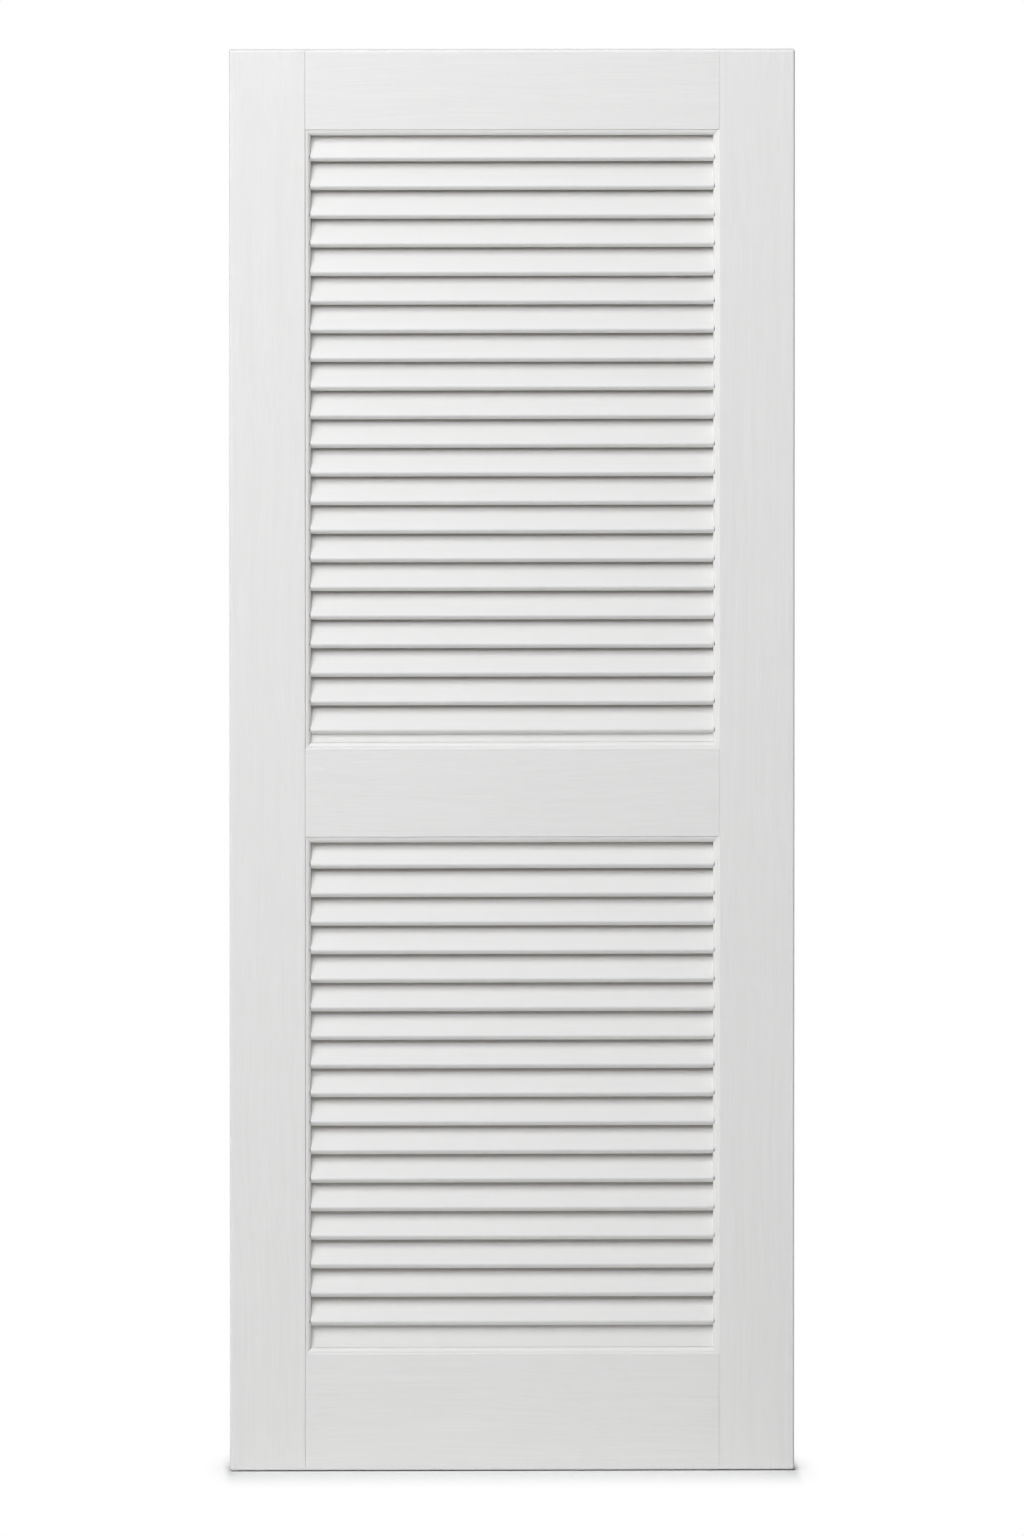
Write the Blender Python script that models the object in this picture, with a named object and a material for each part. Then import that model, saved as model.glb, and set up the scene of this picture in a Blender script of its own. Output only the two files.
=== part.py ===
"""Louvered door leaf: moulded stiles and rails, with fixed slats housed in the stiles.

Metres, +Z up. The origin is on the floor, under the middle of the leaf. +X is to the right of someone
who faces the front, and the front face looks along -Y.
"""

import math

import bmesh
import bpy
from mathutils import Matrix, Vector

# Leaf
DOOR_WIDTH = 0.806
DOOR_HEIGHT = 2.032
DOOR_THICKNESS = 0.035
EDGE_RADIUS = 0.003
EDGE_SEGMENTS = 2

# Stiles and rails, as the flat width that shows on the face
STILE_FACE = 0.107
TOP_RAIL_FACE = 0.113
LOCK_RAIL_FACE = 0.1255
BOTTOM_RAIL_FACE = 0.1665

# Sticking, the moulding on the inner edges: a bevelled step and then an ovolo
STICKING_WIDTH = 0.009
STICKING_DEPTH = 0.009
STEP_WIDTH = 0.0012
STEP_DEPTH = 0.002
OVOLO_SEGMENTS = 5

# Slats, and how far their slots in the stiles run on past the face joint
UPPER_SLATS = 21
LOWER_SLATS = 17
SLAT_WIDTH = 0.0445
SLAT_THICKNESS = 0.010
SLAT_TILT = math.radians(62.0)
SLAT_EASING = 0.002
EASING_SEGMENTS = 4
SLOT_REACH = 0.0035

# Bare height above the first slat's lower arris and below the last one's, from the sticking
HEAD_REVEAL = 0.0375
UPPER_SILL_REVEAL = 0.0115
LOWER_SILL_REVEAL = 0.0314

# Sill slats, which close each panel behind the sticking below it
SILL_TILT = math.radians(74.0)
SILL_LAP = 0.002

# Dowels in the stile and rail joints
DOWEL_DIAMETER = 0.0127
DOWEL_LENGTH = 0.1016
DOWEL_CHAMFER = 0.0012
DOWEL_SIDES = 12
DOWEL_EDGE = 0.033
GLUE_POCKET = 0.002

# Clearances, and the wood left on a blank until the leaf is trimmed to size
JOINT_GAP = 0.0003
SLAT_GAP = 0.0003
DOWEL_GAP = 0.0003
BLANK_ALLOWANCE = 0.003

# Finish
PAINT_COLOUR = (0.83, 0.83, 0.83, 1.0)
PAINT_ROUGHNESS = 0.42
BEECH_COLOUR = (0.55, 0.36, 0.20, 1.0)
BEECH_ROUGHNESS = 0.6
SMOOTH_ANGLE = math.radians(35.0)
WELD_DISTANCE = 0.000001

# Planes that the sizes above set
FRONT = -DOOR_THICKNESS / 2
JOINT_X = DOOR_WIDTH / 2 - STILE_FACE
ARRIS_X = JOINT_X - STICKING_WIDTH
SLOT_END_X = JOINT_X + SLOT_REACH
RAIL_FACES = TOP_RAIL_FACE + LOCK_RAIL_FACE + BOTTOM_RAIL_FACE
CLEAR_HEIGHT = DOOR_HEIGHT - RAIL_FACES - 4 * STICKING_WIDTH
REVEALS = 2 * HEAD_REVEAL + UPPER_SILL_REVEAL + LOWER_SILL_REVEAL
SLAT_PITCH = (CLEAR_HEIGHT - REVEALS) / (UPPER_SLATS - 1 + LOWER_SLATS - 1)
LOWER_SILL = BOTTOM_RAIL_FACE + STICKING_WIDTH
LOWER_HEAD = LOWER_SILL + LOWER_SILL_REVEAL + (LOWER_SLATS - 1) * SLAT_PITCH + HEAD_REVEAL
UPPER_SILL = LOWER_HEAD + LOCK_RAIL_FACE + 2 * STICKING_WIDTH
UPPER_HEAD = DOOR_HEIGHT - TOP_RAIL_FACE - STICKING_WIDTH
SILL_DEPTH = SLAT_THICKNESS / math.sin(SILL_TILT)

# Turns a section drawn in X and Y, and pulled out along Z, into one pulled out along X
ALONG_X = Matrix(((0, 0, 1, 0), (1, 0, 0, 0), (0, 1, 0, 0), (0, 0, 0, 1)))


def clear_scene():
    for obj in list(bpy.data.objects):
        bpy.data.objects.remove(obj, do_unlink=True)


def new_collection(name):
    collection = bpy.data.collections.new(name)
    bpy.context.scene.collection.children.link(collection)
    return collection


def new_material(name, colour, roughness):
    material = bpy.data.materials.new(name)
    material.use_nodes = True
    shader = material.node_tree.nodes["Principled BSDF"]
    shader.inputs["Base Color"].default_value = colour
    shader.inputs["Roughness"].default_value = roughness
    shader.inputs["Metallic"].default_value = 0.0
    return material


def add_part(name, mesh, collection, material, parent, location=(0, 0, 0), tilt=0.0):
    """A visible piece, placed in its parent's frame."""
    if not mesh.materials:
        mesh.materials.append(material)
    mesh.shade_smooth()
    mesh.set_sharp_from_angle(angle=SMOOTH_ANGLE)
    obj = bpy.data.objects.new(name, mesh)
    collection.objects.link(obj)
    obj.parent = parent
    obj.location = location
    obj.rotation_euler = (tilt, 0, 0)
    return obj


def add_cutter(name, mesh, collection):
    obj = bpy.data.objects.new(name, mesh)
    collection.objects.link(obj)
    obj.hide_render = True
    obj.display_type = "WIRE"
    return obj


def add_empty(name, collection, parent, location):
    obj = bpy.data.objects.new(name, None)
    collection.objects.link(obj)
    obj.parent = parent
    obj.location = location
    return obj


def add_boolean(obj, cutter, operation):
    modifier = obj.modifiers.new(cutter.name, "BOOLEAN")
    modifier.operation = operation
    modifier.solver = "EXACT"
    modifier.object = cutter


def mesh_from_bmesh(name, bm):
    bmesh.ops.recalc_face_normals(bm, faces=bm.faces)
    mesh = bpy.data.meshes.new(name)
    bm.to_mesh(mesh)
    bm.free()
    return mesh


def extruded(name, outline, length):
    """Closed mesh of a flat outline in X and Y, pulled out to both sides along Z."""
    curve = bpy.data.curves.new(name, "CURVE")
    curve.dimensions = "2D"
    curve.fill_mode = "BOTH"
    curve.extrude = length / 2
    spline = curve.splines.new("POLY")
    spline.points.add(len(outline) - 1)
    for point, (x, y) in zip(spline.points, outline):
        point.co = (x, y, 0, 1)
    spline.use_cyclic_u = True
    drawing = bpy.data.objects.new(name, curve)
    bpy.context.scene.collection.objects.link(drawing)
    depsgraph = bpy.context.evaluated_depsgraph_get()
    filled = bpy.data.meshes.new_from_object(drawing.evaluated_get(depsgraph))
    bpy.data.objects.remove(drawing, do_unlink=True)
    bm = bmesh.new()
    bm.from_mesh(filled)
    bpy.data.meshes.remove(filled)
    bmesh.ops.remove_doubles(bm, verts=bm.verts, dist=WELD_DISTANCE)
    return mesh_from_bmesh(name, bm)


def joined(name, placed):
    """One mesh of several bodies, each given with its matrix."""
    bm = bmesh.new()
    for mesh, matrix in placed:
        body = mesh.copy()
        body.transform(matrix)
        bm.from_mesh(body)
        bpy.data.meshes.remove(body)
    return mesh_from_bmesh(name, bm)


def sticking(gap=0.0, rise=0.0):
    """Section of the moulding from the face down to the inner edge, as (inset, depth) points.

    A gap moves the whole section off the wood, for the cope that fits over it, and a rise starts it
    that far in front of the face.
    """
    slope = math.atan2(STEP_DEPTH, STEP_WIDTH)
    points = [(gap / math.sin(slope) - rise / math.tan(slope), -rise)]
    points.append((STEP_WIDTH + gap * math.tan(slope / 2), STEP_DEPTH - gap))
    for index in range(1, OVOLO_SEGMENTS + 1):
        turn = math.pi / 2 * index / OVOLO_SEGMENTS
        inset = STEP_WIDTH + (STICKING_WIDTH - STEP_WIDTH + gap) * math.sin(turn)
        depth = STICKING_DEPTH - (STICKING_DEPTH - STEP_DEPTH + gap) * math.cos(turn)
        points.append((inset, depth))
    return points


def moulded_edge(face_edge, inward, gap=0.0):
    """The moulding on both faces, front to back, as (position across the member, y) points."""
    front = [(face_edge + inward * inset, FRONT + depth) for inset, depth in sticking(gap, BLANK_ALLOWANCE)]
    back = [(across, -y) for across, y in reversed(front)]
    return front + back


def plain_edge(position):
    """A square edge from the back blank face to the front one."""
    blank_front = FRONT - BLANK_ALLOWANCE
    return [(position, -blank_front), (position, blank_front)]


def stile_outline(side, gap=0.0):
    """Section of a stile's blank in X and Y, for side -1 on the left and 1 on the right."""
    outer = side * (DOOR_WIDTH / 2 + BLANK_ALLOWANCE)
    return moulded_edge(side * JOINT_X, -side, gap) + plain_edge(outer)


def stile_mesh(name, side, gap=0.0):
    mesh = extruded(name, stile_outline(side, gap), DOOR_HEIGHT + 2 * BLANK_ALLOWANCE)
    mesh.transform(Matrix.Translation((0, 0, DOOR_HEIGHT / 2)))
    return mesh


def rail_mesh(name, low, high):
    """Blank of a rail. An edge is (z of the face's edge, whether it is moulded)."""
    low_z, low_moulded = low
    high_z, high_moulded = high
    if high_moulded:
        outline = moulded_edge(high_z, 1)
    else:
        outline = plain_edge(high_z + BLANK_ALLOWANCE)[::-1]
    if low_moulded:
        outline += moulded_edge(low_z, -1)[::-1]
    else:
        outline += plain_edge(low_z - BLANK_ALLOWANCE)
    mesh = extruded(name, [(y, z) for z, y in outline], DOOR_WIDTH)
    mesh.transform(ALONG_X)
    return mesh


def leaf_envelope():
    """The leaf as one plain slab at its finished size, with its outer edges eased."""
    bm = bmesh.new()
    bmesh.ops.create_cube(bm, size=1.0)
    bmesh.ops.scale(bm, vec=(DOOR_WIDTH, DOOR_THICKNESS, DOOR_HEIGHT), verts=bm.verts)
    bmesh.ops.translate(bm, vec=(0, 0, DOOR_HEIGHT / 2), verts=bm.verts)
    bmesh.ops.bevel(bm, geom=bm.edges[:], offset=EDGE_RADIUS, segments=EDGE_SEGMENTS, profile=0.5,
                    affect="EDGES")
    return mesh_from_bmesh("leaf_envelope", bm)


def slat_outline(gap=0.0):
    """Section of a slat that lies flat, as (y, z) points: square edges, with one arris of each eased."""
    half_width, half_thickness = SLAT_WIDTH / 2, SLAT_THICKNESS / 2
    radius = SLAT_EASING + gap
    back_edge = []
    for index in range(EASING_SEGMENTS + 1):
        turn = math.pi / 2 * (index / EASING_SEGMENTS - 1)
        y = half_width - SLAT_EASING + radius * math.cos(turn)
        back_edge.append((y, SLAT_EASING - half_thickness + radius * math.sin(turn)))
    back_edge.append((half_width + gap, half_thickness + gap))
    return back_edge + [(-y, -z) for y, z in back_edge]


def slat_mesh(name, half_length, gap=0.0):
    """A slat along X. A gap makes the slot that the slat fits in."""
    mesh = extruded(name, slat_outline(gap), 2 * half_length)
    mesh.transform(ALONG_X)
    return mesh


def ripped(mesh, matrix, ceiling):
    """A copy of a slat with everything above a level plane sawn off."""
    to_local = matrix.inverted()
    bm = bmesh.new()
    bm.from_mesh(mesh)
    everything = bm.verts[:] + bm.edges[:] + bm.faces[:]
    bmesh.ops.bisect_plane(bm, geom=everything, dist=WELD_DISTANCE, clear_outer=True,
                           plane_co=to_local @ Vector((0, 0, ceiling)),
                           plane_no=to_local.to_3x3() @ Vector((0, 0, 1)))
    bmesh.ops.edgeloop_fill(bm, edges=[e for e in bm.edges if e.is_boundary])
    return mesh_from_bmesh(mesh.name + "_ripped", bm)


def slat_half_rise():
    """Height of a tilted slat's lowest point below its middle."""
    return (SLAT_WIDTH * math.sin(SLAT_TILT) + SLAT_THICKNESS * math.cos(SLAT_TILT)) / 2


def slat_heights(head, count):
    """Heights of a panel's slats, middle of the section, from the top down."""
    first = head - HEAD_REVEAL + slat_half_rise()
    return [first - index * SLAT_PITCH for index in range(count)]


def sill_height(reveal):
    """Height of a sill slat, from its foot on the rail to its top behind the last slat's lower arris."""
    return reveal + SILL_LAP - SLAT_GAP


def sill_foot(height):
    """Y of the front of a sill slat's foot: behind the sticking, and clear of the last slat above it."""
    behind_sticking = FRONT + STICKING_DEPTH + SLAT_GAP
    clear = SLAT_THICKNESS / 2 + SLAT_GAP
    top_below_middle = slat_half_rise() - SILL_LAP
    along = (clear * math.cos(SLAT_TILT) - top_below_middle) / math.sin(SLAT_TILT)
    behind_slat = along * math.cos(SLAT_TILT) + clear * math.sin(SLAT_TILT)
    return max(behind_sticking, behind_slat - height / math.tan(SILL_TILT))


def sill_slat_mesh(name, reveal, half_length, gap=0.0):
    """A sill slat round its own middle: a leaning strip, sawn level at its foot and its top."""
    lean = Matrix.Identity(4)
    lean[1][2] = 1 / math.tan(SILL_TILT)
    bm = bmesh.new()
    bmesh.ops.create_cube(bm, size=1.0)
    size = (2 * half_length, SILL_DEPTH + 2 * gap, sill_height(reveal) + 2 * gap)
    bmesh.ops.scale(bm, vec=size, verts=bm.verts)
    bmesh.ops.transform(bm, matrix=lean, verts=bm.verts)
    return mesh_from_bmesh(name, bm)


def sill_slat_middle(sill, reveal):
    height = sill_height(reveal)
    y = sill_foot(height) + (height / math.tan(SILL_TILT) + SILL_DEPTH) / 2
    return Vector((0, y, sill + SLAT_GAP + height / 2))


def cylinder_along_x(name, radius, length, chamfer=0.0):
    bm = bmesh.new()
    bmesh.ops.create_cone(bm, cap_ends=True, segments=DOWEL_SIDES, radius1=radius, radius2=radius,
                          depth=length)
    if chamfer:
        rims = [e for e in bm.edges if abs(e.verts[0].co.z - e.verts[1].co.z) < length / 2]
        bmesh.ops.bevel(bm, geom=rims, offset=chamfer, segments=1, profile=0.5, affect="EDGES")
    bmesh.ops.transform(bm, matrix=ALONG_X, verts=bm.verts)
    return mesh_from_bmesh(name, bm)


def dowel_places():
    """Name and middle of each dowel, centred on the plane where the stile and the rail butt."""
    rails = {
        "top_rail": (UPPER_HEAD, DOOR_HEIGHT),
        "lock_rail": (LOWER_HEAD, UPPER_SILL),
        "bottom_rail": (0.0, LOWER_SILL),
    }
    places = []
    for rail, (low, high) in rails.items():
        for side_name, side in (("left", -1), ("right", 1)):
            for level, z in (("lower", low + DOWEL_EDGE), ("upper", high - DOWEL_EDGE)):
                places.append((f"{rail}_{side_name}_{level}_dowel", (side * ARRIS_X, 0, z)))
    return places


def add_panel(name, head, sill, reveal, count, collection, root, paint):
    """A panel's slats and its sill slat.

    Returns the slots that the stiles need for the slats and for the sill slat, as mesh and matrix.
    """
    panel = add_empty(f"{name}_panel", collection, root, (0, 0, sill))
    tilt = Matrix.Rotation(SLAT_TILT, 4, "X")
    half_length = SLOT_END_X - SLAT_GAP
    slat = slat_mesh(f"{name}_slat", half_length)
    slot = slat_mesh(f"{name}_slot", SLOT_END_X, SLAT_GAP)
    slots = []
    for index, z in enumerate(slat_heights(head, count)):
        matrix = Matrix.Translation((0, 0, z)) @ tilt
        mesh, hole = slat, slot
        if z + slat_half_rise() > head - SLAT_GAP:
            mesh = ripped(slat, matrix, head - SLAT_GAP)
            hole = ripped(slot, matrix, head)
        place = (0, 0, z - sill)
        add_part(f"{name}_slat_{index + 1:02d}", mesh, collection, paint, panel, place, SLAT_TILT)
        slots.append((hole, matrix))
    middle = sill_slat_middle(sill, reveal)
    sill_slat = sill_slat_mesh(f"{name}_sill_slat", reveal, half_length)
    add_part(f"{name}_sill_slat", sill_slat, collection, paint, panel, middle - Vector((0, 0, sill)))
    sill_slot = sill_slat_mesh(f"{name}_sill_slot", reveal, SLOT_END_X, SLAT_GAP)
    return slots, [(sill_slot, Matrix.Translation(middle))]


def add_frame(slots, sill_slots, collection, cutters, root, paint):
    """Stiles and rails, trimmed to the leaf's size, slotted, coped and bored."""
    envelope = add_cutter("leaf_envelope", leaf_envelope(), cutters)
    slot_cutter = add_cutter("slat_slots", joined("slat_slots", slots), cutters)
    sill_cutter = add_cutter("sill_slots", joined("sill_slots", sill_slots), cutters)
    here = Matrix.Identity(4)
    copes = [(stile_mesh("cope", side, JOINT_GAP), here) for side in (-1, 1)]
    cope_cutter = add_cutter("rail_copes", joined("rail_copes", copes), cutters)
    bore = cylinder_along_x("bore", DOWEL_DIAMETER / 2 + DOWEL_GAP, DOWEL_LENGTH + 2 * GLUE_POCKET)
    bores = [(bore, Matrix.Translation(place)) for _, place in dowel_places()]
    bore_cutter = add_cutter("dowel_bores", joined("dowel_bores", bores), cutters)
    for name, side in (("left_stile", -1), ("right_stile", 1)):
        stile = add_part(name, stile_mesh(name, side), collection, paint, root)
        for cutter, operation in ((envelope, "INTERSECT"), (slot_cutter, "DIFFERENCE"),
                                  (sill_cutter, "DIFFERENCE"), (bore_cutter, "DIFFERENCE")):
            add_boolean(stile, cutter, operation)
    rails = {
        "top_rail": ((DOOR_HEIGHT - TOP_RAIL_FACE, True), (DOOR_HEIGHT, False)),
        "lock_rail": ((LOWER_HEAD + STICKING_WIDTH, True), (UPPER_SILL - STICKING_WIDTH, True)),
        "bottom_rail": ((0.0, False), (BOTTOM_RAIL_FACE, True)),
    }
    for name, (low, high) in rails.items():
        rail = add_part(name, rail_mesh(name, low, high), collection, paint, root)
        for cutter, operation in ((envelope, "INTERSECT"), (cope_cutter, "DIFFERENCE"),
                                  (bore_cutter, "DIFFERENCE")):
            add_boolean(rail, cutter, operation)


def add_dowels(collection, root, beech):
    dowel = cylinder_along_x("dowel", DOWEL_DIAMETER / 2, DOWEL_LENGTH, DOWEL_CHAMFER)
    for name, place in dowel_places():
        add_part(name, dowel, collection, beech, root, place)


def main():
    clear_scene()
    door = new_collection("louvered_door")
    cutters = new_collection("cutters")
    paint = new_material("white_satin_paint", PAINT_COLOUR, PAINT_ROUGHNESS)
    beech = new_material("beech", BEECH_COLOUR, BEECH_ROUGHNESS)
    root = add_empty("door_leaf", door, None, (0, 0, 0))
    upper, upper_sill = add_panel("upper", UPPER_HEAD, UPPER_SILL, UPPER_SILL_REVEAL, UPPER_SLATS, door,
                                  root, paint)
    lower, lower_sill = add_panel("lower", LOWER_HEAD, LOWER_SILL, LOWER_SILL_REVEAL, LOWER_SLATS, door,
                                  root, paint)
    add_frame(upper + lower, upper_sill + lower_sill, door, cutters, root, paint)
    add_dowels(door, root, beech)


main()
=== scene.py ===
# %% [markdown]
# # A white louvered door
# The real thing is a softwood door leaf: two upright stiles, three rails and two panels of fixed
# slats, all under satin white paint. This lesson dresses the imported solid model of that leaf.
# The model already gives every size and place, so each piece below is made where its solid
# stands, with finer mouldings, softer edges and a painted finish, and then stands for it.

# %% Load the frame
import math

import bmesh
import bpy
from mathutils import Matrix, Vector


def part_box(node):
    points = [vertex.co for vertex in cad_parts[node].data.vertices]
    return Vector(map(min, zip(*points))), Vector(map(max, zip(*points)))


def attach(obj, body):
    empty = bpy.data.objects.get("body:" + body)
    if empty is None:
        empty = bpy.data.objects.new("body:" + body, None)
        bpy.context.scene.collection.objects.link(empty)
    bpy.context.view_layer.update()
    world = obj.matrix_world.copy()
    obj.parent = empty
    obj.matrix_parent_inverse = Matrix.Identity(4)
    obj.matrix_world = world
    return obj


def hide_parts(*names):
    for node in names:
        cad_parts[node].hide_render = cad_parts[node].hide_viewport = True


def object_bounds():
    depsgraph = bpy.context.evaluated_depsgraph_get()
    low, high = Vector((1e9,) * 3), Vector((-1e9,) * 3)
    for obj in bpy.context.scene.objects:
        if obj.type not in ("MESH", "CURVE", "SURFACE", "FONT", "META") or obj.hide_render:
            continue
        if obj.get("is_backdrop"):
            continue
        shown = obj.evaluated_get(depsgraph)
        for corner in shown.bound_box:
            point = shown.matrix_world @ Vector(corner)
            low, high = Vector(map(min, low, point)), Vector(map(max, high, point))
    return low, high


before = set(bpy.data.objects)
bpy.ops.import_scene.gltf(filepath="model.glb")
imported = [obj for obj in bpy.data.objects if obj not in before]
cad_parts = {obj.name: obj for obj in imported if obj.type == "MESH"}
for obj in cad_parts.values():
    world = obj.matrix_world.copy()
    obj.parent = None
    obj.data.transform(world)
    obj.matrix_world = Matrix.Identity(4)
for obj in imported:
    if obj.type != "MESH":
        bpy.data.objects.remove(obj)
cad_low, cad_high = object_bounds()
print("solids:", len(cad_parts), "box:", [round(v, 4) for v in cad_high - cad_low])

# %% [markdown]
# ## Reading the frame
# A joiner sets a door out from its arrises, the lines where the moulded edges of the frame meet
# the opening. Those lines are the inner sides of the stiles' solids and the upper and lower sides
# of the rails' solids, so they are read from the frame instead of being typed in again.

# %% Lines of the frame
WIDTH, THICKNESS, HEIGHT = cad_high - cad_low
HALF_THICKNESS = THICKNESS / 2
ARRIS_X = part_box("right_stile")[0].x
STICKING = 0.009
JOINT_X = ARRIS_X + STICKING
RAILS = ("top_rail", "lock_rail", "bottom_rail")
STILES = {"left_stile": -1, "right_stile": 1}
print("opening", round(2000 * ARRIS_X, 1), "mm wide between joints at", round(1000 * JOINT_X, 1))

# %% [markdown]
# ## Shader maths as Python
# A shader is a graph of nodes, and wiring one Math node at a time hides the idea behind it. A
# small class that wraps a socket and overloads the operators lets a pattern be written as a
# formula, and one method makes every other node, so that a finish reads from top to bottom.

# %% A socket that takes part in sums
class Signal:
    """One output socket; arithmetic on it adds Math nodes."""

    def __init__(self, shader, socket):
        self.shader, self.socket = shader, socket

    def other(self, key):
        """Another output of the same node."""
        return Signal(self.shader, self.socket.node.outputs[key])

    def maths(self, operation, value=0.0):
        return self.shader.node("ShaderNodeMath", {"operation": operation}, {0: self, 1: value})

    def __add__(self, value):
        return self.maths("ADD", value)

    def __sub__(self, value):
        return self.maths("SUBTRACT", value)

    def __mul__(self, value):
        return self.maths("MULTIPLY", value)

    def __truediv__(self, value):
        return self.maths("DIVIDE", value)

    def __rsub__(self, value):
        return self * -1.0 + value

    __radd__, __rmul__ = __add__, __mul__


# %% A shader that makes its nodes in one way
class Shader:
    """An empty node tree, filled by calls that name a node, its settings and its sockets."""

    def __init__(self, owner):
        owner.use_nodes = True
        self.tree = owner.node_tree
        self.tree.nodes.clear()

    def node(self, kind, settings=None, sockets=None):
        made = self.tree.nodes.new(kind)
        for name, value in (settings or {}).items():
            if name == "stops":
                for element, (place, colour) in zip(made.color_ramp.elements, value):
                    element.position, element.color = place, colour
            else:
                setattr(made, name, value)
        for name, value in (sockets or {}).items():
            if isinstance(value, Signal):
                self.tree.links.new(value.socket, made.inputs[name])
            else:
                made.inputs[name].default_value = value
        return Signal(self, made.outputs[0]) if made.outputs else None


def noise(shader, vector, scale=1.0, detail=2.0, roughness=0.5):
    """Cloudy noise over a vector."""
    sockets = {"Vector": vector, "Scale": scale, "Detail": detail, "Roughness": roughness}
    return shader.node("ShaderNodeTexNoise", {}, sockets)


def scaled(shader, vector, scale):
    """A vector whose axes are scaled one by one."""
    return shader.node("ShaderNodeMapping", {}, {"Vector": vector, "Scale": scale})


print("shader helpers ready")

# %% [markdown]
# ## Satin white paint over softwood
# Paint never hides softwood altogether: the growth lines swell and sink under the film, so a
# painted board shows faint long streaks along its grain. Scaling Object coordinates hard along one
# axis turns plain noise into such streaks. Three sizes are mixed: broad growth bands, fine raised
# fibres and the stipple that the roller leaves. The first two move the tone by about one part in
# a hundred, and all three feed a very shallow bump, which is all that the satin film shows.
# White paint is a little warm, which only shows where light bounces between the slats many times.
# Deep between two slats, where the slat above shades the one below, the colour is darkened to a
# warm brown: painted shade. An attribute on the slats gives how strong that painted shade is.

# %% What the paint is like
PAINT_WARMTH = (1.0, 0.989, 0.965)
# Painted shade: deep between the slats the colour is darkened from white towards this warm brown.
UNSHADED_TINT, GAP_SHADE_TINT = (1.0, 1.0, 1.0, 1.0), (0.42, 0.37, 0.31, 1.0)
GROWTH_SIZE, FIBRE_SIZE = (0.009, 0.70), (0.0019, 0.13)
GROWTH_SHARE, FIBRE_SHARE = 0.35, 0.65
DRIFT_SCALE, GRAIN_DRIFT = 2.6, 0.03
STIPPLE_SCALE = 620.0
NOISE_ROUGHNESS = 0.55
FIGURE_DEPTH = 0.05
STREAK_HEIGHT, STIPPLE_HEIGHT = 0.8, 0.12
FILM_RELIEF, FILM_RELIEF_STRENGTH = 0.00022, 0.55
FILM_ROUGHNESS, FIBRE_ROUGHNESS, STIPPLE_ROUGHNESS = 0.36, 0.10, 0.06


def off_white(value):
    """The warm white of the paint, at a brightness."""
    return (*(value * share for share in PAINT_WARMTH), 1.0)


print("paint at full brightness:", off_white(1.0))

# %% Painted wood
def painted_wood(name, along, brightness, figure):
    """Paint over wood whose grain runs along an axis, 0 to 2, with more or less figure; painted shade
    between slats.
    """

    def streaks_of(across_size, along_size):
        scale = [1 / across_size] * 3
        scale[along] = 1 / along_size
        return noise(shader, scaled(shader, wandering, scale), roughness=NOISE_ROUGHNESS)

    def mottle(scale):
        return noise(shader, place, scale, 1.0, NOISE_ROUGHNESS)

    material = bpy.data.materials.new(name)
    shader = Shader(material)
    place = shader.node("ShaderNodeTexCoord").other("Object")
    drift = mottle(DRIFT_SCALE).other("Color")
    bend = shader.node(
        "ShaderNodeVectorMath", {"operation": "SCALE"}, {0: drift, "Scale": GRAIN_DRIFT}
    )
    wandering = shader.node("ShaderNodeVectorMath", {"operation": "ADD"}, {0: place, 1: bend})
    growth = streaks_of(*GROWTH_SIZE)
    fibres = streaks_of(*FIBRE_SIZE)
    stipple = mottle(STIPPLE_SCALE)
    streaks = growth * GROWTH_SHARE + fibres * FIBRE_SHARE
    dark, light = off_white(brightness - FIGURE_DEPTH * figure), off_white(brightness)
    tone = shader.node(
        "ShaderNodeValToRGB", {"stops": [(0.30, dark), (0.70, light)]}, {"Fac": streaks}
    )
    # Painted shade: the slats' attribute darkens the colour deep between them, where shade falls.
    gap_shade = shader.node("ShaderNodeAttribute", {"attribute_name": "gap_shade"}).other("Fac")
    gap_darkening = shader.node(
        "ShaderNodeValToRGB", {"stops": [(0.0, UNSHADED_TINT), (1.0, GAP_SHADE_TINT)]}, {"Fac": gap_shade}
    )
    colour = shader.node("ShaderNodeVectorMath", {"operation": "MULTIPLY"}, {0: tone, 1: gap_darkening})
    height = streaks * (STREAK_HEIGHT * figure) + stipple * STIPPLE_HEIGHT
    relief = shader.node(
        "ShaderNodeBump",
        {},
        {"Strength": FILM_RELIEF_STRENGTH, "Distance": FILM_RELIEF, "Height": height},
    )
    roughness = FILM_ROUGHNESS + fibres * FIBRE_ROUGHNESS + stipple * STIPPLE_ROUGHNESS
    film = shader.node(
        "ShaderNodeBsdfPrincipled",
        {},
        {"Base Color": colour, "Roughness": roughness, "Normal": relief},
    )
    shader.node("ShaderNodeOutputMaterial", {}, {"Surface": film})
    return material


stile_paint = painted_wood("paint_on_upright_grain", along=2, brightness=0.865, figure=1.0)
rail_paint = painted_wood("paint_on_level_grain", along=0, brightness=0.865, figure=1.0)
slat_paint = painted_wood("paint_and_gap_shade_on_slat", along=0, brightness=0.815, figure=0.4)
print("paint:", stile_paint.name, rail_paint.name, slat_paint.name)

# %% [markdown]
# ## Beech for the dowels
# The dowels inside the joints are bare beech. Its mark is a fleck of short dark dashes on a warm
# even ground, so one noise is stretched along the pin for the grain and a second, much finer one
# lays the flecks over it. One colour ramp turns their sum into wood.

# %% Bare beech
BEECH_GRAIN, BEECH_FLECK = (9.0, 420.0, 420.0), (260.0, 2100.0, 2100.0)
DARK_BEECH, LIGHT_BEECH = (0.40, 0.24, 0.12, 1.0), (0.60, 0.41, 0.24, 1.0)
BEECH_RELIEF = 0.00015


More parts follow.
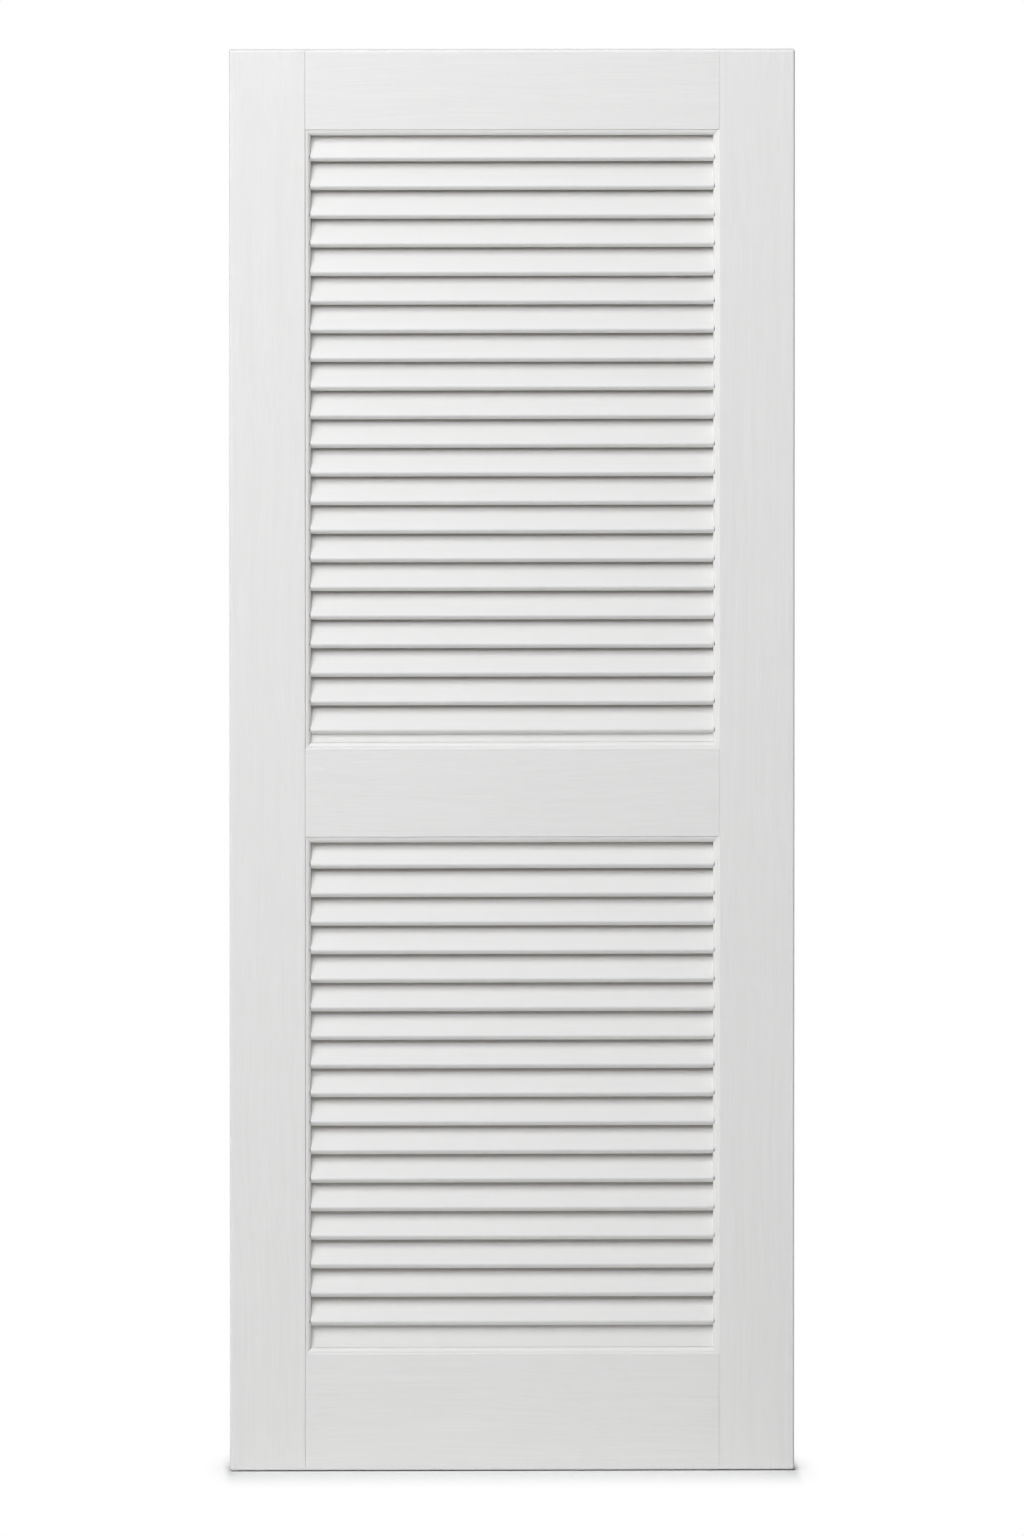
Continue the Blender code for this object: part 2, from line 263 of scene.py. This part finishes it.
def bare_beech():
    """Bare wood with its grain along X, as the dowels lie."""
    material = bpy.data.materials.new("bare_beech")
    shader = Shader(material)
    place = shader.node("ShaderNodeTexCoord").other("Object")
    grain = noise(shader, scaled(shader, place, BEECH_GRAIN), detail=3.0)
    dashes = noise(shader, scaled(shader, place, BEECH_FLECK))
    wood = shader.node(
        "ShaderNodeValToRGB",
        {"stops": [(0.25, DARK_BEECH), (0.70, LIGHT_BEECH)]},
        {"Fac": grain * 0.7 + dashes * 0.3},
    )
    relief = shader.node(
        "ShaderNodeBump", {}, {"Strength": 0.5, "Distance": BEECH_RELIEF, "Height": grain + dashes}
    )
    pin = shader.node(
        "ShaderNodeBsdfPrincipled",
        {},
        {"Base Color": wood, "Roughness": 0.55 + dashes * 0.15, "Normal": relief},
    )
    shader.node("ShaderNodeOutputMaterial", {}, {"Surface": pin})
    return material


dowel_beech = bare_beech()
print("bare wood:", dowel_beech.name)

# %% [markdown]
# ## Blanks, cuts and finished pieces
# Joinery is stock that is planed to size and then cut. The helpers follow that order: a blank is
# a cube scaled between two corners, a cut is an exact Boolean made permanent at once, and a
# finished piece gets its paint, soft shading and the name of the solid that it stands for. Weighted
# normals keep a broad face flat: without them its shading would lean towards its tiny rounds.

# %% Blanks
HAIR = 1e-6


def blank(low, high):
    """A plain piece of stock between two corners."""
    stock = bmesh.new()
    bmesh.ops.create_cube(stock, size=1.0)
    bmesh.ops.scale(stock, vec=Vector(high) - Vector(low), verts=stock.verts)
    bmesh.ops.translate(stock, vec=(Vector(low) + Vector(high)) / 2, verts=stock.verts)
    return stock


def span(edge, axis):
    """How far an edge runs along an axis."""
    start, end = edge.verts
    return abs(getattr(start.co, axis) - getattr(end.co, axis))


def everything_in(stock):
    """All that a cut through the stock may meet."""
    return list(stock.verts) + list(stock.edges) + list(stock.faces)


def round_edges(stock, edges, radius, segments, clamp=True):
    """Rounds edges of the stock to a radius."""
    bmesh.ops.bevel(
        stock, geom=edges, offset=radius, offset_type="OFFSET", affect="EDGES",
        segments=segments, profile=0.5, material=-1, clamp_overlap=clamp,
    )


print("blank helpers ready; lengths under", HAIR, "m count as none")

# %% Objects and cuts
def as_object(name, stock):
    """Hands the stock over to an object at the origin."""
    mesh = bpy.data.meshes.new(name)
    stock.to_mesh(mesh)
    stock.free()
    made = bpy.data.objects.new(name, mesh)
    bpy.context.scene.collection.objects.link(made)
    return made


def cut(piece, tool, operation="DIFFERENCE"):
    """Cuts the piece with a tool and keeps the result as its mesh."""
    boolean = piece.modifiers.new("cut", "BOOLEAN")
    boolean.object, boolean.operation, boolean.solver = tool, operation, "EXACT"
    bpy.context.view_layer.update()
    evaluated = piece.evaluated_get(bpy.context.evaluated_depsgraph_get())
    mesh = bpy.data.meshes.new_from_object(evaluated)
    piece.modifiers.clear()
    piece.data = mesh


def gather(name, stocks):
    """Joins separate stocks into one tool."""
    tool = bmesh.new()
    for stock in stocks:
        mesh = bpy.data.meshes.new("part_of_" + name)
        stock.to_mesh(mesh)
        stock.free()
        tool.from_mesh(mesh)
        bpy.data.meshes.remove(mesh)
    return as_object(name, tool)


def put_away(*tools):
    """Removes tools that have done their cut."""
    for tool in tools:
        bpy.data.objects.remove(tool)


print("cutting helpers ready")

# %% Finishing a piece
SHARP_ANGLE = 32.0


def finish_piece(piece, node, material, angle=SHARP_ANGLE):
    """Shades, paints and names a piece that stands for one solid; sharp edges pass an angle."""
    piece.data.materials.clear()
    piece.data.materials.append(material)
    piece.data.shade_smooth()
    piece.data.set_sharp_from_angle(angle=math.radians(angle))
    piece.modifiers.new("flat_faces", "WEIGHTED_NORMAL").keep_sharp = True
    piece.name = piece.data.name = "dressed_" + node
    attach(piece, "root")
    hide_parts(node)


print("finishing helper ready")

# %% [markdown]
# ## The moulded edge
# Every inner edge of the frame carries the same sticking on both faces: a small step down from
# the face and then a quarter round, the ovolo. A swept profile could draw it, but two extrusions
# are shorter: extrude the edge of the blank with a slight narrowing for the step, extrude it
# again square, and round the two long corners of that tongue with a bevel. Blanks start a little
# too thick, as sawn boards do, and the leaf's own outline planes them to size afterwards.

# %% Sticking
STEP_WIDTH, STEP_DEPTH = 0.0012, 0.002
SPARE = 0.002
OVOLO_SEGMENTS = 14


def run_sticking(stock, direction, gap=0.0):
    """Moulds the side of a blank that looks in a direction; a gap makes a looser copy."""
    direction = Vector(direction)
    face = max(stock.faces, key=lambda f: f.calc_center_median().dot(direction))
    step_run = STEP_WIDTH * (STEP_DEPTH + SPARE) / STEP_DEPTH
    passes = ((step_run, STEP_DEPTH + SPARE - gap), (STICKING - STEP_WIDTH, 0.0))
    for run, narrowing in passes:
        face = bmesh.ops.extrude_discrete_faces(stock, faces=[face])["faces"][0]
        half = max(vert.co.y for vert in face.verts)
        bmesh.ops.scale(stock, vec=(1, 1 - narrowing / half, 1), verts=face.verts)
        bmesh.ops.translate(stock, vec=direction * run, verts=face.verts)
    long_edges = [e for e in face.edges if span(e, "y") < HAIR]
    round_edges(stock, long_edges, STICKING - STEP_DEPTH + gap, OVOLO_SEGMENTS)


STEP_START = STEP_WIDTH * SPARE / STEP_DEPTH
print("ovolo radius", round(1000 * (STICKING - STEP_DEPTH), 2), "mm")

# %% [markdown]
# ## The leaf's outline
# Once a door is glued up, its outer corners are eased with a pass of sandpaper. One cube of the
# leaf's full size with all edges rounded holds that easing for the whole door: keeping only what
# each frame member shares with it planes both faces and eases only the outside corners.

# %% Eased outline
EASING = 0.003
outline = blank(cad_low, cad_high)
round_edges(outline, list(outline.edges), EASING, segments=4)
leaf_outline = as_object("leaf_outline", outline)
print("outline faces:", len(leaf_outline.data.polygons))

# %% [markdown]
# ## Slats
# A slat is a thin board with square edges. Only the arris that shows, the upper one in front and,
# turned round, the lower one behind, is eased to a soft round; the other stays crisp and draws the
# fine dark line under each slat. It is turned so that its front edge hangs low and hides what is
# behind. A cube with its long edges bevelled, two of them by a hair only, is all that this takes,
# and the same function with a small growth gives the slots in the stiles, so slat and slot always
# agree. The painted shade between the slats starts where the slat above begins to cover a slat,
# and on the first slat of a panel a little lower, where the rail covers it.

# %% Slat section
SLAT_WIDTH, SLAT_THICKNESS = 0.0445, 0.010
SLAT_EASING, CRISP_ARRIS = 0.0036, 0.0003
SLAT_TILT = math.radians(62.0)
SLIP = 0.0003
# Where the painted shade deep between the slats starts and how far it takes to deepen; lower on a
# panel's first slat.
SHADE_START, SHADE_FADE, RAIL_SHADE_DROP = 0.012, 0.010, 0.0045
NEARLY = 0.99


def paint_gap_shade(stock, shade_start):
    """Marks the part of each broad face that lies deep between the slats for painted shade."""
    for across in (-shade_start, shade_start):
        bmesh.ops.bisect_plane(
            stock, geom=everything_in(stock), plane_co=(0, across, 0), plane_no=(0, 1, 0)
        )
    gap_shade = stock.loops.layers.float.new("gap_shade")
    stock.normal_update()
    for face in stock.faces:
        if abs(face.normal.z) > NEARLY:
            for loop in face.loops:
                depth = loop.vert.co.y * face.normal.z - shade_start
                loop[gap_shade] = max(0.0, depth / SHADE_FADE)


def slat_stock(low_x, high_x, height, growth=0.0, shade_start=SHADE_START):
    """One slat between two ends at a height, or its looser slot."""
    half = Vector((0, SLAT_WIDTH / 2 + growth, SLAT_THICKNESS / 2 + growth))
    stock = blank(Vector((low_x, 0, 0)) - half, Vector((high_x, 0, 0)) + half)
    arrises = [e for e in stock.edges if span(e, "x") > HAIR]
    shown = [e for e in arrises if e.verts[0].co.y * e.verts[0].co.z < 0]
    round_edges(stock, shown, SLAT_EASING + growth, segments=6)
    if not growth:
        corner = NEARLY * half.y * half.z
        crisp = [e for e in stock.edges if all(v.co.y * v.co.z > corner for v in e.verts)]
        round_edges(stock, crisp, CRISP_ARRIS, segments=2)
        # Painted shade on the part of the slat that lies deep between its neighbours.
        paint_gap_shade(stock, shade_start)
    turn = Matrix.Rotation(SLAT_TILT, 3, "X")
    bmesh.ops.rotate(stock, cent=(0, 0, 0), matrix=turn, verts=stock.verts)
    bmesh.ops.translate(stock, vec=(0, 0, height), verts=stock.verts)
    return stock


def rip(stock, height):
    """Saws the stock level at a height and keeps what lies below."""
    sawn = bmesh.ops.bisect_plane(
        stock, geom=everything_in(stock), plane_co=(0, 0, height), plane_no=(0, 0, 1),
        clear_outer=True,
    )
    rim = [part for part in sawn["geom_cut"] if isinstance(part, bmesh.types.BMEdge)]
    bmesh.ops.edgeloop_fill(stock, edges=rim)
    bmesh.ops.recalc_face_normals(stock, faces=stock.faces)


print("slat section", 1000 * SLAT_WIDTH, "x", 1000 * SLAT_THICKNESS, "mm")

# %% [markdown]
# ## Where the slats stand
# Slat heights come from the frame: the middle of a full slat's box is its axis. A ripped slat's
# box is cut short, so its axis is one pitch above the second slat's.

# %% Slat heights
slat_heights, slat_tops = {}, {}
for panel in ("upper", "lower"):
    names = sorted(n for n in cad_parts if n.startswith(panel + "_slat_"))
    for name in names[1:]:
        low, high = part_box(name)
        slat_heights[name] = (low.z + high.z) / 2
    pitch = slat_heights[names[1]] - slat_heights[names[2]]
    slat_heights[names[0]] = slat_heights[names[1]] + pitch
    slat_tops[names[0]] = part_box(names[0])[1].z
SLAT_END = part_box("upper_slat_02")[1].x
print(len(slat_heights), "slats, pitch", round(1000 * pitch, 2), "mm, length", round(2 * SLAT_END, 4))

# %% [markdown]
# ## Trimmed noses
# Where a slat's nose stands forward of the moulding's inner arris, its last few millimetres are
# trimmed back, so that it clears the ovolo. From the front that leaves a fine dark gap round the
# end of each nose. One tool of four posts, two at each end, trims every slat.

# %% Nose trimmer
NOSE_RUNS_ON = 0.0009
posts = []
for side in (-1, 1):
    low_x, high_x = sorted((side * (ARRIS_X + NOSE_RUNS_ON), side * (SLAT_END + SPARE)))
    for face in (-1, 1):
        inner, outer = HALF_THICKNESS - STICKING, HALF_THICKNESS + SPARE
        low_y, high_y = sorted((face * inner, face * outer))
        posts.append(blank((low_x, low_y, cad_low.z), (high_x, high_y, cad_high.z)))
nose_trimmer = gather("nose_trimmer", posts)
print("noses run", 1000 * NOSE_RUNS_ON, "mm past the arris")

# %% Make the slats
for name, height in sorted(slat_heights.items()):
    # The painted shade starts a little lower on a panel's first slat, which the rail shades.
    shade_start = SHADE_START - RAIL_SHADE_DROP if name in slat_tops else SHADE_START
    stock = slat_stock(-SLAT_END, SLAT_END, height, 0.0, shade_start)
    if name in slat_tops:
        rip(stock, slat_tops[name])
    slat = as_object(name, stock)
    cut(slat, nose_trimmer)
    finish_piece(slat, name, slat_paint)
put_away(nose_trimmer)
print("slats made:", len(slat_heights))

# %% [markdown]
# ## Sill slats
# Below the last full slat of each panel a strip of slat stock closes the gap to the rail. It is a
# cube leaned over by moving its top edge back, which is simpler to read than a rotation because
# the strip's foot and head are both sawn level.

# %% Sill slats
SILL_TILT = math.radians(74.0)
SILL_ARRIS = 0.0006


def sill_stock(low_x, high_x, name, growth=0.0):
    """The leaning strip that a sill slat's box encloses, or its looser slot."""
    low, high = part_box(name)
    lean = (high.z - low.z) / math.tan(SILL_TILT)
    stock = blank(
        (low_x, low.y - growth, low.z - growth), (high_x, high.y - lean + growth, high.z + growth)
    )
    upper = [vert for vert in stock.verts if vert.co.z > (low.z + high.z) / 2]
    bmesh.ops.translate(stock, vec=(0, lean, 0), verts=upper)
    head_edges = [
        e for e in stock.edges if all(v in upper for v in e.verts) and span(e, "x") > HAIR
    ]
    round_edges(stock, head_edges, SILL_ARRIS + growth, segments=3)
    return stock


SILLS = ("upper_sill_slat", "lower_sill_slat")
for name in SILLS:
    strip = as_object(name, sill_stock(-SLAT_END, SLAT_END, name))
    finish_piece(strip, name, slat_paint)
print("sill slats:", *SILLS)

# %% [markdown]
# ## Dowels
# A dowel is a short beech pin with chamfered ends and straight flutes that let glue escape. A
# cylinder with its ends bevelled would do for the pin. Drawing every second one of its long edges
# in towards the axis cuts the flutes without any Boolean.

# %% Dowels
FLUTES = 18
FLUTE_DEPTH = 0.00045
DOWEL_CHAMFER = 0.0011
FLUTE_ANGLE = 20.0
DOWELS = sorted(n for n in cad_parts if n.endswith("_dowel"))


def dowel_stock(name, growth=0.0):
    """A pin that fills a dowel's box, fluted, or its plain bore."""
    low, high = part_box(name)
    middle, radius = (low + high) / 2, (high.z - low.z) / 2 + growth
    length = high.x - low.x + 2 * growth
    stock = bmesh.new()
    bmesh.ops.create_cone(
        stock, cap_ends=True, segments=2 * FLUTES, radius1=radius, radius2=radius, depth=length
    )
    if not growth:
        rims = [e for e in stock.edges if span(e, "z") < HAIR]
        round_edges(stock, rims, DOWEL_CHAMFER, segments=2)
        step = math.pi / FLUTES
        grooves = [
            v for v in stock.verts
            if round(math.atan2(v.co.y, v.co.x) / step - 0.25) % 2 and v.co.xy.length > radius / 2
        ]
        shrink = 1 - FLUTE_DEPTH / radius
        bmesh.ops.scale(stock, vec=(shrink, shrink, 1), verts=grooves)
    turn = Matrix.Rotation(math.pi / 2, 3, "Y")
    bmesh.ops.rotate(stock, cent=(0, 0, 0), matrix=turn, verts=stock.verts)
    bmesh.ops.translate(stock, vec=middle, verts=stock.verts)
    return stock


for name in DOWELS:
    finish_piece(as_object(name, dowel_stock(name)), name, dowel_beech, FLUTE_ANGLE)
print("dowels:", len(DOWELS))

# %% [markdown]
# ## Cutting tools for the joints
# Each stile needs one slot per slat and six bores, and each rail four bores. Tools that never
# touch one another can share a mesh, so they are gathered into one bmesh and cut in one go, which
# is much faster than forty Booleans. A sill slat's slot runs into the slot above it, and bodies
# that overlap inside one tool spoil a Boolean, so the sill slots are a tool of their own.

# %% Tools for the joints
SLOT_RUN_OUT = 0.006


def slot_tools(side):
    """The slots of one stile, from the opening to just past the ends: the slats' and the sills'."""
    low_x, high_x = sorted((side * (ARRIS_X - SLOT_RUN_OUT), side * (SLAT_END + SLIP)))
    slots = []
    for name, height in sorted(slat_heights.items()):
        slot = slat_stock(low_x, high_x, height, SLIP)
        if name in slat_tops:
            rip(slot, slat_tops[name] + SLIP)
        slots.append(slot)
    sill_slots = [sill_stock(low_x, high_x, name, SLIP) for name in SILLS]
    return gather("slat_slots", slots), gather("sill_slots", sill_slots)


def bore_tool(names):
    """The bores of some dowels."""
    return gather("bores", [dowel_stock(name, SLIP) for name in names])


print("slots run", 1000 * SLOT_RUN_OUT, "mm out into the opening")

# %% [markdown]
# ## Softened face edges
# Under paint no edge stays knife sharp. The edges that lie in a face of the leaf, along the step
# of the moulding and across the rails' ends, get a tiny round each. Two of them side by side turn
# a joint into the fine line that shows through the paint on the real door.

# %% Softening
SOFT_EDGE, SOFT_ANGLE = 0.0004, math.radians(25.0)
FACE_TOLERANCE = 1e-5


def soften_face_edges(piece):
    """Rounds the sharp edges that lie in the front or back face."""
    stock = bmesh.new()
    stock.from_mesh(piece.data)
    bmesh.ops.remove_doubles(stock, verts=stock.verts, dist=HAIR)
    bmesh.ops.dissolve_degenerate(stock, edges=stock.edges, dist=HAIR)
    on_face = [
        e for e in stock.edges
        if all(abs(abs(v.co.y) - HALF_THICKNESS) < FACE_TOLERANCE for v in e.verts)
        and len(e.link_faces) == 2 and e.calc_face_angle() > SOFT_ANGLE
    ]
    round_edges(stock, on_face, SOFT_EDGE, segments=3, clamp=False)
    stock.to_mesh(piece.data)
    stock.free()
    return len(on_face)


print("softening radius", 1000 * SOFT_EDGE, "mm")

# %% [markdown]
# ## Stiles
# A stile is a full-height board with the sticking run along its inner edge. The slots are cut
# right through the ovolo, which leaves the small wave at each slat's end that is typical of a
# routed louver frame.

# %% Stile blanks
def stile_stock(side, gap=0.0):
    """A moulded upright on one side of the leaf; a gap makes the tool that copes the rails."""
    outer = cad_high.x + SPARE
    inner = JOINT_X + STEP_START - gap
    low_x, high_x = sorted((side * outer, side * inner))
    half = HALF_THICKNESS + SPARE
    stock = blank((low_x, -half, cad_low.z - SPARE), (high_x, half, cad_high.z + SPARE))
    run_sticking(stock, (-side, 0, 0), gap)
    return stock


print("stile face", round(1000 * (cad_high.x - JOINT_X), 1), "mm wide")

# %% Make the stiles
for name, side in STILES.items():
    stile = as_object(name, stile_stock(side))
    cut(stile, leaf_outline, "INTERSECT")
    tools = [*slot_tools(side), bore_tool([n for n in DOWELS if ("right" in n) == (side > 0)])]
    for tool in tools:
        cut(stile, tool)
    put_away(*tools)
    softened = soften_face_edges(stile)
    finish_piece(stile, name, stile_paint)
    print(name, "faces:", len(stile.data.polygons), "softened:", softened)

# %% [markdown]
# ## Rails
# A rail carries the same sticking on each edge that borders a panel. Its ends are coped: cut with
# a slightly loose copy of the stile, so that they drop over the stile's moulding and the corner
# looks mitred although it isn't.

# %% Rail blanks
RAIL_OVERRUN = 0.02


def rail_stock(name):
    """A moulded cross rail that runs into both stiles."""
    low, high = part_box(name)
    half = HALF_THICKNESS + SPARE
    reach = STICKING + STEP_START
    has_lower, has_upper = name != "bottom_rail", name != "top_rail"
    stock = blank(
        (-JOINT_X - RAIL_OVERRUN, -half, low.z + reach if has_lower else low.z - SPARE),
        (JOINT_X + RAIL_OVERRUN, half, high.z - reach if has_upper else high.z + SPARE),
    )
    if has_lower:
        run_sticking(stock, (0, 0, -1))
    if has_upper:
        run_sticking(stock, (0, 0, 1))
    return stock


print("rails:", *RAILS)

# %% Make the rails
JOINT_GAP = 0.0003
copes = [as_object("cope", stile_stock(side, JOINT_GAP)) for side in STILES.values()]
for name in RAILS:
    rail = as_object(name, rail_stock(name))
    cut(rail, leaf_outline, "INTERSECT")
    for cope in copes:
        cut(rail, cope)
    bores = bore_tool([n for n in DOWELS if n.startswith(name)])
    cut(rail, bores)
    put_away(bores)
    softened = soften_face_edges(rail)
    finish_piece(rail, name, rail_paint)
    print(name, "faces:", len(rail.data.polygons), "softened:", softened)
put_away(leaf_outline, *copes)

# %% [markdown]
# ## Floor
# The door stands on a white floor that melts into a white room, with only a soft contact shadow
# round its foot. A plane in plain pale paint takes that shadow. A mask of the distance from the
# door's foot turns the plane into pure white for the camera, and for glossy and transmission rays,
# so no edge or horizon shows while the bounce light on the door stays that of a pale floor. No
# floor is quite flat and a leaf touches it only here and there, so the plane lies a hair below
# the foot, which draws the fine dark line there. Beside the door the mask paints most of the
# shadow over with white, as painted fill light.

# %% Rays that see the white room
def seen_directly(shader):
    """One for camera, glossy and transmission rays, and nothing for rays that carry light."""
    path = shader.node("ShaderNodeLightPath")
    mirrored = path.other("Is Glossy Ray") + path.other("Is Transmission Ray")
    return path.other("Is Camera Ray").maths("MAXIMUM", mirrored)


print("white room helper ready")

# %% Floor plane
FLOOR_SIZE = 14.0
WHITE, PALE = (1.0, 1.0, 1.0, 1.0), (0.86, 0.86, 0.86, 1.0)
SHADOW_BESIDE, SHADOW_BEFORE = 0.045, 0.30
# Painted light: how much of the floor's shadow beside the door is blended into white, and over what
# width.
SIDE_PAINTED_FILL, SIDE_PAINTED_FILL_WIDTH = 0.7, 0.010
FOOT_GAP = 0.0015
stock = bmesh.new()
bmesh.ops.create_grid(stock, x_segments=1, y_segments=1, size=FLOOR_SIZE / 2)
bmesh.ops.translate(stock, vec=(0, 0, cad_low.z - FOOT_GAP), verts=stock.verts)
floor = as_object("floor", stock)
floor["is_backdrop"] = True
floor_paint = bpy.data.materials.new("pale_floor")
floor.data.materials.append(floor_paint)
print("floor", FLOOR_SIZE, "m")

# %% Floor finish
shader = Shader(floor_paint)
place = shader.node("ShaderNodeTexCoord").other("Object")
across = shader.node("ShaderNodeSeparateXYZ", {}, {"Vector": place})
past_side = (across.maths("ABSOLUTE") - WIDTH / 2).maths("MAXIMUM")
beside = past_side / SHADOW_BESIDE
before = (across.other("Y").maths("ABSOLUTE") - HALF_THICKNESS).maths("MAXIMUM") / SHADOW_BEFORE
near = (1.0 - (beside * beside + before * before).maths("SQRT")).maths("MAXIMUM")
# Painted light: beside the door the mask paints most of the shadow over with white.
painted_fill = (past_side / SIDE_PAINTED_FILL_WIDTH).maths("MINIMUM", 1.0) * SIDE_PAINTED_FILL
far = 1.0 - near * near * (1.0 - painted_fill)
matt = shader.node("ShaderNodeBsdfDiffuse", {}, {"Color": PALE})
white = shader.node("ShaderNodeEmission", {}, {"Color": WHITE, "Strength": 1.0})
blend = shader.node(
    "ShaderNodeMixShader", {}, {0: far * seen_directly(shader), 1: matt, 2: white}
)
shader.node("ShaderNodeOutputMaterial", {}, {"Surface": blend})
print("shadow reaches", SHADOW_BEFORE, "m before the door")

# %% [markdown]
# ## Light
# The slats tell where the light came from: the shadow under each nose fades slowly down the next
# slat, both ends of a slat darken softly, and nothing shines through from behind. So the room
# lights almost only from the upper front, like a wide white ceiling, and one very large soft lamp
# hangs high on the left. A small lamp straight above lights the top edge and hardly reaches the
# slats, which shade one another. A weak lamp low behind the door lets its back be seen from there
# and, being low, sends little light through the gaps. The light is a shade cool, as daylight is,
# so that the warm paint comes out neutral. For the camera the world is plain white.

# %% World
DAYLIGHT = (0.968, 0.979, 1.0)
ROOM_ABOVE, ROOM_AROUND = 0.14, 0.015
FRONT_EDGE = 0.1
CEILING_START, CEILING_FULL = 0.1, 0.5
world = bpy.data.worlds.new("white_room")
bpy.context.scene.world = world
shader = Shader(world)
toward = shader.node("ShaderNodeTexCoord").other("Generated")
axes = shader.node("ShaderNodeSeparateXYZ", {}, {"Vector": toward})
before = shader.node(
    "ShaderNodeMapRange",
    {},
    {"Value": axes.other("Y"), "From Min": FRONT_EDGE, "From Max": -FRONT_EDGE},
)
above = shader.node(
    "ShaderNodeMapRange",
    {"interpolation_type": "SMOOTHSTEP"},
    {"Value": axes.other("Z"), "From Min": CEILING_START, "From Max": CEILING_FULL},
)
level = before * above * ROOM_ABOVE + ROOM_AROUND
room = shader.node("ShaderNodeBackground", {}, {"Color": (*DAYLIGHT, 1.0), "Strength": level})
white = shader.node("ShaderNodeBackground", {}, {"Color": WHITE, "Strength": 1.0})
air = shader.node("ShaderNodeMixShader", {}, {0: seen_directly(shader), 1: room, 2: white})
shader.node("ShaderNodeOutputWorld", {}, {"Surface": air})
print("room light", ROOM_ABOVE, "from above,", ROOM_AROUND, "all round")

# %% Lamps
def soft_lamp(name, place, target, size, power):
    """A square area lamp that looks at a target."""
    data = bpy.data.lights.new(name, "AREA")
    data.shape, data.size, data.energy, data.color = "SQUARE", size, power, DAYLIGHT
    lamp = bpy.data.objects.new(name, data)
    lamp.location = place
    lamp.rotation_euler = (Vector(target) - Vector(place)).to_track_quat("-Z", "Y").to_euler()
    bpy.context.scene.collection.objects.link(lamp)
    return lamp


lamps = [
    soft_lamp("key_lamp", (-2.5, -4.6, 5.0), target=(0.0, 0.0, 1.1), size=5.0, power=404.0),
    soft_lamp("top_lamp", (0.0, 0.0, 4.4), target=(0.0, 0.0, 0.0), size=1.2, power=12.0),
    soft_lamp("back_lamp", (0.2, 1.9, 0.02), target=(0.2, 1.9, 1.0), size=3.4, power=44.0),
]
print("lamps:", *(f"{lamp.name} {lamp.data.energy} W" for lamp in lamps))

# %% [markdown]
# ## Camera
# The edges of the door hardly converge in the photograph, so it was taken from far away with a
# long lens, from a little above and a little to the left. The distance is chosen first, and the
# lens follows from how many metres the frame covers at the door.

# %% Camera
IMAGE_HEIGHT = 1536
DOOR_PIXELS_HIGH = 1421.3
AZIMUTH, ELEVATION = math.radians(-1.3), math.radians(4.3)
DISTANCE = 55.0
AIM_DROP = 0.0113
AIM = Vector((0.0, 0.0, HEIGHT / 2 - AIM_DROP))

data = bpy.data.cameras.new("camera")
camera = bpy.data.objects.new("camera", data)
bpy.context.scene.collection.objects.link(camera)
bpy.context.scene.camera = camera
away = Vector((
    math.sin(AZIMUTH) * math.cos(ELEVATION),
    -math.cos(AZIMUTH) * math.cos(ELEVATION),
    math.sin(ELEVATION),
))
camera.location = AIM + away * DISTANCE
camera.rotation_euler = (-away).to_track_quat("-Z", "Y").to_euler()
seen_height = HEIGHT * math.cos(ELEVATION) + THICKNESS * math.sin(ELEVATION)
frame_height = seen_height * IMAGE_HEIGHT / DOOR_PIXELS_HIGH
data.sensor_fit = "AUTO"
data.sensor_width = 36.0
data.lens = data.sensor_width * DISTANCE / frame_height
data.clip_end = 250.0
print("lens", round(data.lens, 1), "mm at", DISTANCE, "m; frame", round(frame_height, 3), "m high")

# %% [markdown]
# ## View transform
# The view transform is Standard, so a colour renders as it is written.

# %% Finish
bpy.context.scene.view_settings.view_transform = "Standard"
bpy.context.view_layer.update()
low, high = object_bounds()
print("dressed box:", [round(v, 4) for v in high - low])
